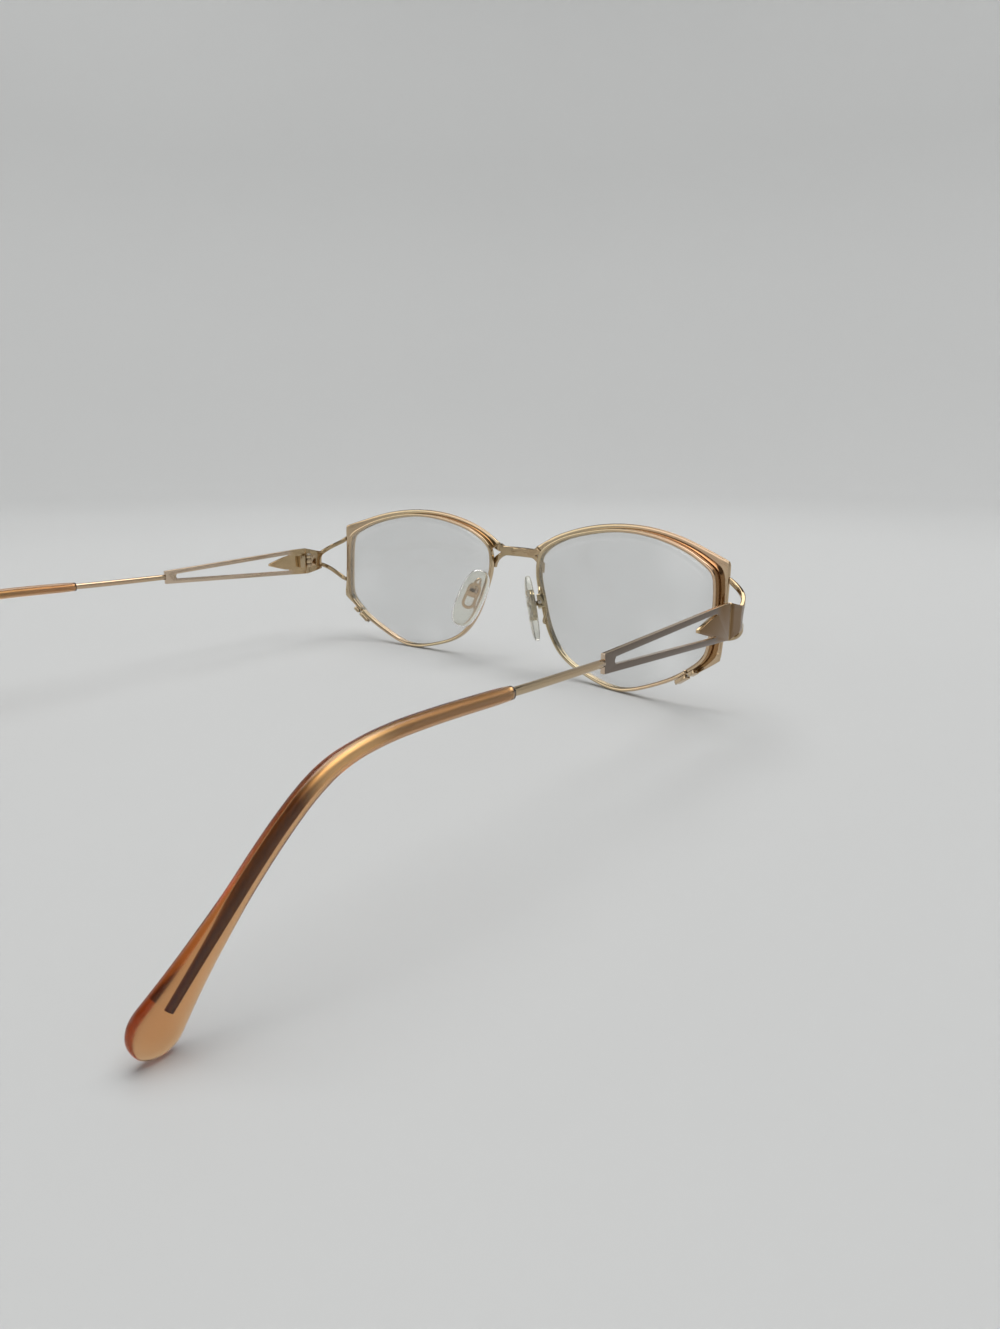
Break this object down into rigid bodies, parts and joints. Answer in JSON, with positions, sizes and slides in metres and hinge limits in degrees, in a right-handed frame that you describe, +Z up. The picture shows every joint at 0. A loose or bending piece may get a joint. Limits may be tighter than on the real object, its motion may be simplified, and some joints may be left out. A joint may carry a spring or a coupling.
{
  "type": "eyeglasses",
  "caption": "Cat-eye eyeglasses with metal eyewires under a brow trim, forked endpieces, openwork hinged temples with plastic tips, and rocking nose pads on arms.",
  "frame": {"origin": "middle of the glasses in plan, on the surface they stand on with the temples open", "axes": "the wearer looks along -Y, +X is to the wearer's left, +Z is up"},
  "size_m": [0.1426, 0.148, 0.0405],
  "materials": {
    "gold_metal": "polished champagne gold plating",
    "screws": "turned steel",
    "lens": "clear and polished",
    "nose_pads": "clear soft plastic",
    "temple_tips": "polished translucent amber"
  },
  "bodies": {
    "front": {"bridge": "gold_metal", "left_eyewire": "gold_metal", "right_eyewire": "gold_metal", "left_lens": "lens", "right_lens": "lens", "left_brow_trim": "gold_metal", "right_brow_trim": "gold_metal", "left_endpiece": "gold_metal", "right_endpiece": "gold_metal", "left_front_hinge": "gold_metal", "right_front_hinge": "gold_metal", "left_hinge_screw": "screws", "right_hinge_screw": "screws", "left_pad_arm": "gold_metal", "right_pad_arm": "gold_metal", "left_pad_box": "gold_metal", "right_pad_box": "gold_metal", "left_pad_screw": "screws", "right_pad_screw": "screws", "left_closing_block_upper": "gold_metal", "right_closing_block_upper": "gold_metal", "left_closing_block_lower": "gold_metal", "right_closing_block_lower": "gold_metal", "left_closing_screw": "screws", "right_closing_screw": "screws"},
    "left_temple": {"left_temple_hinge": "gold_metal", "left_temple_plate": "gold_metal", "left_temple_wire": "gold_metal", "left_temple_tip": "temple_tips"},
    "right_temple": {"right_temple_hinge": "gold_metal", "right_temple_plate": "gold_metal", "right_temple_wire": "gold_metal", "right_temple_tip": "temple_tips"},
    "left_pad": {"left_nose_pad": "nose_pads", "left_pad_insert": "gold_metal"},
    "right_pad": {"right_nose_pad": "nose_pads", "right_pad_insert": "gold_metal"}
  },
  "joints": [
    {"name": "left_temple_fold", "type": "hinge", "parent": "front", "child": "left_temple", "pos_m": [0.06832, -0.05409, 0.02437], "axis": [0, 0, 1], "range_deg": [0, 90]},
    {"name": "right_temple_fold", "type": "hinge", "parent": "front", "child": "right_temple", "pos_m": [-0.06832, -0.05409, 0.02437], "axis": [0, 0, -1], "range_deg": [0, 84]},
    {"name": "left_pad_rock", "type": "hinge", "parent": "front", "child": "left_pad", "pos_m": [0.01198, -0.0665, 0.01911], "axis": [-0.5825, -0.7193, -0.3786], "range_deg": [-8, 8]},
    {"name": "right_pad_rock", "type": "hinge", "parent": "front", "child": "right_pad", "pos_m": [-0.01198, -0.0665, 0.01911], "axis": [-0.5825, 0.7193, 0.3786], "range_deg": [-8, 8]}
  ]
}
